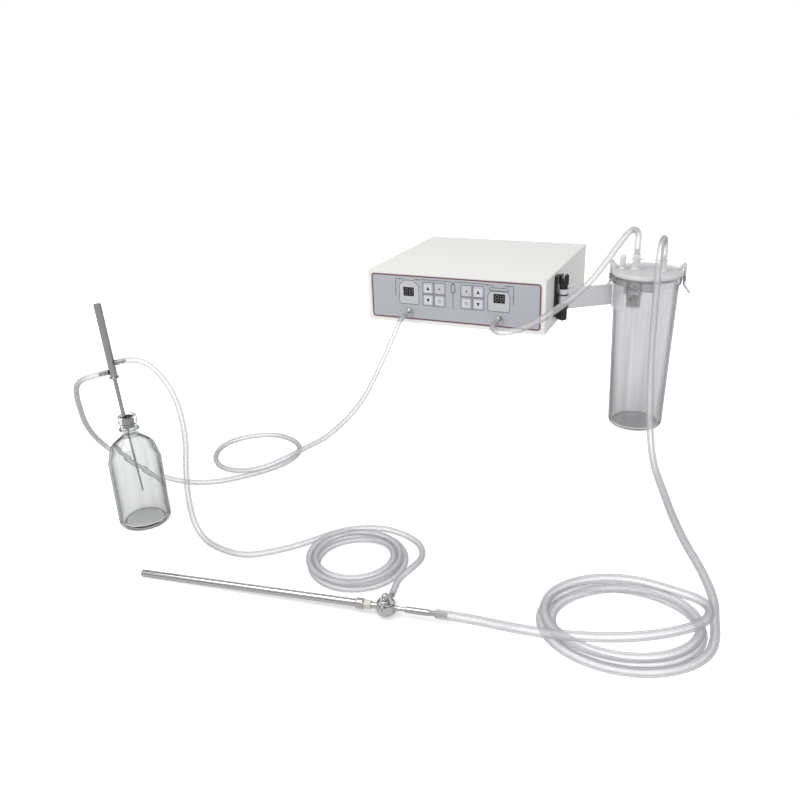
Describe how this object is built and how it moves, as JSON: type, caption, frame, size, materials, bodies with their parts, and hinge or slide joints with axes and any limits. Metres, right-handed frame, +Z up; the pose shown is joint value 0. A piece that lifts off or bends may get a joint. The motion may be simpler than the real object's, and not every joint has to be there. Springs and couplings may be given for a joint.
{
  "type": "surgical suction pump",
  "caption": "Suction and irrigation pump console with a swivelling collection jar, saline bottle, handpiece and clear hoses.",
  "frame": {"origin": "centre of the plane of the console's feet", "axes": "+Z up, console's front face towards -Y, +X to the console's right as seen from its front"},
  "size_m": [1.0124, 0.9731, 0.3849],
  "materials": {
    "white_paint": "fine satin powder coat",
    "panel_grey": "satin membrane",
    "panel_white": "satin",
    "rubber_black": "matte",
    "steel": "polished surgical steel",
    "screw_steel": "zinc plated",
    "display_black": "smoked window",
    "key_white": "satin",
    "black_plastic": "moulded",
    "board_green": "solder mask",
    "motor_steel": "plated can",
    "shaft_steel": "ground",
    "valve_blue": "moulded",
    "inner_tube": "silicone",
    "arm_white": "moulded",
    "clear_plastic": "clear moulded",
    "lid_plastic": "frosted translucent",
    "seal_rubber": "silicone",
    "cage_plastic": "frosted translucent",
    "float_white": "moulded",
    "bottle_glass": "clear pressed glass",
    "stopper_rubber": "matte",
    "sleeve_cream": "moulded",
    "clear_hose": "soft translucent tubing"
  },
  "bodies": {
    "console": {"casing_cover": "white_paint", "base_pan": "white_paint", "front_panel": "panel_white", "front_overlay": "panel_grey", "rear_panel": "panel_white", "rubber_feet": "rubber_black", "case_screws": "screw_steel", "displays": "display_black", "mains_inlet": "black_plastic", "cooling_fan_frame": "black_plastic", "vacuum_pump_body": "motor_steel", "air_pump_body": "motor_steel", "power_supply": "board_green", "control_board": "board_green", "solenoid_valves": "valve_blue", "internal_tubing": "inner_tube", "console_ports": "steel", "side_rail": "black_plastic", "hinge_bracket": "black_plastic", "hinge_pin": "steel", "saline_bottle": "bottle_glass", "bottle_stopper": "stopper_rubber", "spike_outer_tube": "steel", "spike_inner_tube": "steel", "cannula_tube": "steel", "seal_sleeve": "sleeve_cream", "valve_body": "steel", "handle_grip": "steel", "air_hose": "clear_hose", "irrigation_hose": "clear_hose", "irrigation_hose_coil": "clear_hose", "irrigation_hose_tail": "clear_hose", "vacuum_hose": "clear_hose", "suction_hose_drop": "clear_hose", "suction_hose_coil": "clear_hose", "suction_hose_tail": "clear_hose"},
    "power_rocker": {"power_switch_rocker": "black_plastic"},
    "fan_rotor": {"cooling_fan_rotor": "black_plastic"},
    "vacuum_pump_rotor": {"vacuum_pump_shaft": "shaft_steel"},
    "air_pump_rotor": {"air_pump_shaft": "shaft_steel"},
    "canister": {"canister_arm": "arm_white", "canister_ring": "arm_white", "canister_jar": "clear_plastic", "canister_lid": "lid_plastic", "lid_seal": "seal_rubber", "lid_ports": "lid_plastic", "float_cage": "cage_plastic"},
    "knob": {"clamp_knob": "black_plastic"},
    "clip_left": {"lid_clip_left": "arm_white"},
    "clip_right": {"lid_clip_right": "arm_white"},
    "float": {"float_ball": "float_white"},
    "tap": {"valve_tap": "steel"},
    "lock_nut": {"cannula_lock_nut": "steel"},
    "key_left_up": {"key_left_up": "key_white"},
    "key_left_down": {"key_left_down": "key_white"},
    "key_left_run": {"key_left_run": "key_white"},
    "key_right_up": {"key_right_up": "key_white"},
    "key_right_down": {"key_right_down": "key_white"},
    "key_right_run": {"key_right_run": "key_white"}
  },
  "joints": [
    {"name": "key_left_up_press", "type": "slide", "parent": "console", "child": "key_left_up", "axis": [0, 1, 0], "range_m": [0, 0.0006], "stiffness_N_per_m": 1500},
    {"name": "key_left_down_press", "type": "slide", "parent": "console", "child": "key_left_down", "axis": [0, 1, 0], "range_m": [0, 0.0006], "stiffness_N_per_m": 1500},
    {"name": "key_left_run_press", "type": "slide", "parent": "console", "child": "key_left_run", "axis": [0, 1, 0], "range_m": [0, 0.0006], "stiffness_N_per_m": 1500},
    {"name": "key_right_up_press", "type": "slide", "parent": "console", "child": "key_right_up", "axis": [0, 1, 0], "range_m": [0, 0.0006], "stiffness_N_per_m": 1500},
    {"name": "key_right_down_press", "type": "slide", "parent": "console", "child": "key_right_down", "axis": [0, 1, 0], "range_m": [0, 0.0006], "stiffness_N_per_m": 1500},
    {"name": "key_right_run_press", "type": "slide", "parent": "console", "child": "key_right_run", "axis": [0, 1, 0], "range_m": [0, 0.0006], "stiffness_N_per_m": 1500},
    {"name": "power_rocker_tilt", "type": "hinge", "parent": "console", "child": "power_rocker", "pos_m": [0.11, 0.1665, 0.071], "axis": [1, 0, 0], "range_deg": [0, 18]},
    {"name": "fan_spin", "type": "hinge", "parent": "console", "child": "fan_rotor", "pos_m": [-0.095, 0.155, 0.056], "axis": [0, 1, 0], "continuous": true},
    {"name": "vacuum_pump_spin", "type": "hinge", "parent": "console", "child": "vacuum_pump_rotor", "pos_m": [0.0895, -0.02, 0.0455], "axis": [0, 1, 0], "continuous": true},
    {"name": "air_pump_spin", "type": "hinge", "parent": "console", "child": "air_pump_rotor", "pos_m": [-0.0895, -0.02, 0.0455], "axis": [0, 1, 0], "continuous": true},
    {"name": "arm_swivel", "type": "hinge", "parent": "console", "child": "canister", "pos_m": [0.19, -0.095, 0.057], "axis": [0, 0, 1], "range_deg": [-30, 40], "deforming": ["vacuum_hose", "suction_hose_drop"]},
    {"name": "knob_turn", "type": "hinge", "parent": "console", "child": "knob", "pos_m": [0.19, -0.095, 0.089], "axis": [0, 0, 1], "range_deg": [-180, 180]},
    {"name": "clip_left_open", "type": "hinge", "parent": "canister", "child": "clip_left", "pos_m": [0.26134, -0.02277, 0.09], "axis": [-0.1392, -0.9903, 0], "range_deg": [0, 30]},
    {"name": "clip_right_open", "type": "hinge", "parent": "canister", "child": "clip_right", "pos_m": [0.39005, -0.01151, 0.09], "axis": [-0.309, 0.9511, 0], "range_deg": [0, 30]},
    {"name": "float_rise", "type": "slide", "parent": "canister", "child": "float", "axis": [0, 0, 1], "range_m": [0, 0.012]},
    {"name": "tap_turn", "type": "hinge", "parent": "console", "child": "tap", "pos_m": [0.1238, -0.7465, -0.188], "axis": [-0.019, -0.0026, 0.9998], "range_deg": [0, 90]},
    {"name": "lock_nut_turn", "type": "hinge", "parent": "console", "child": "lock_nut", "pos_m": [0.08849, -0.75134, -0.18868], "axis": [0.9906, 0.1357, 0.0192], "range_deg": [-180, 180]}
  ]
}
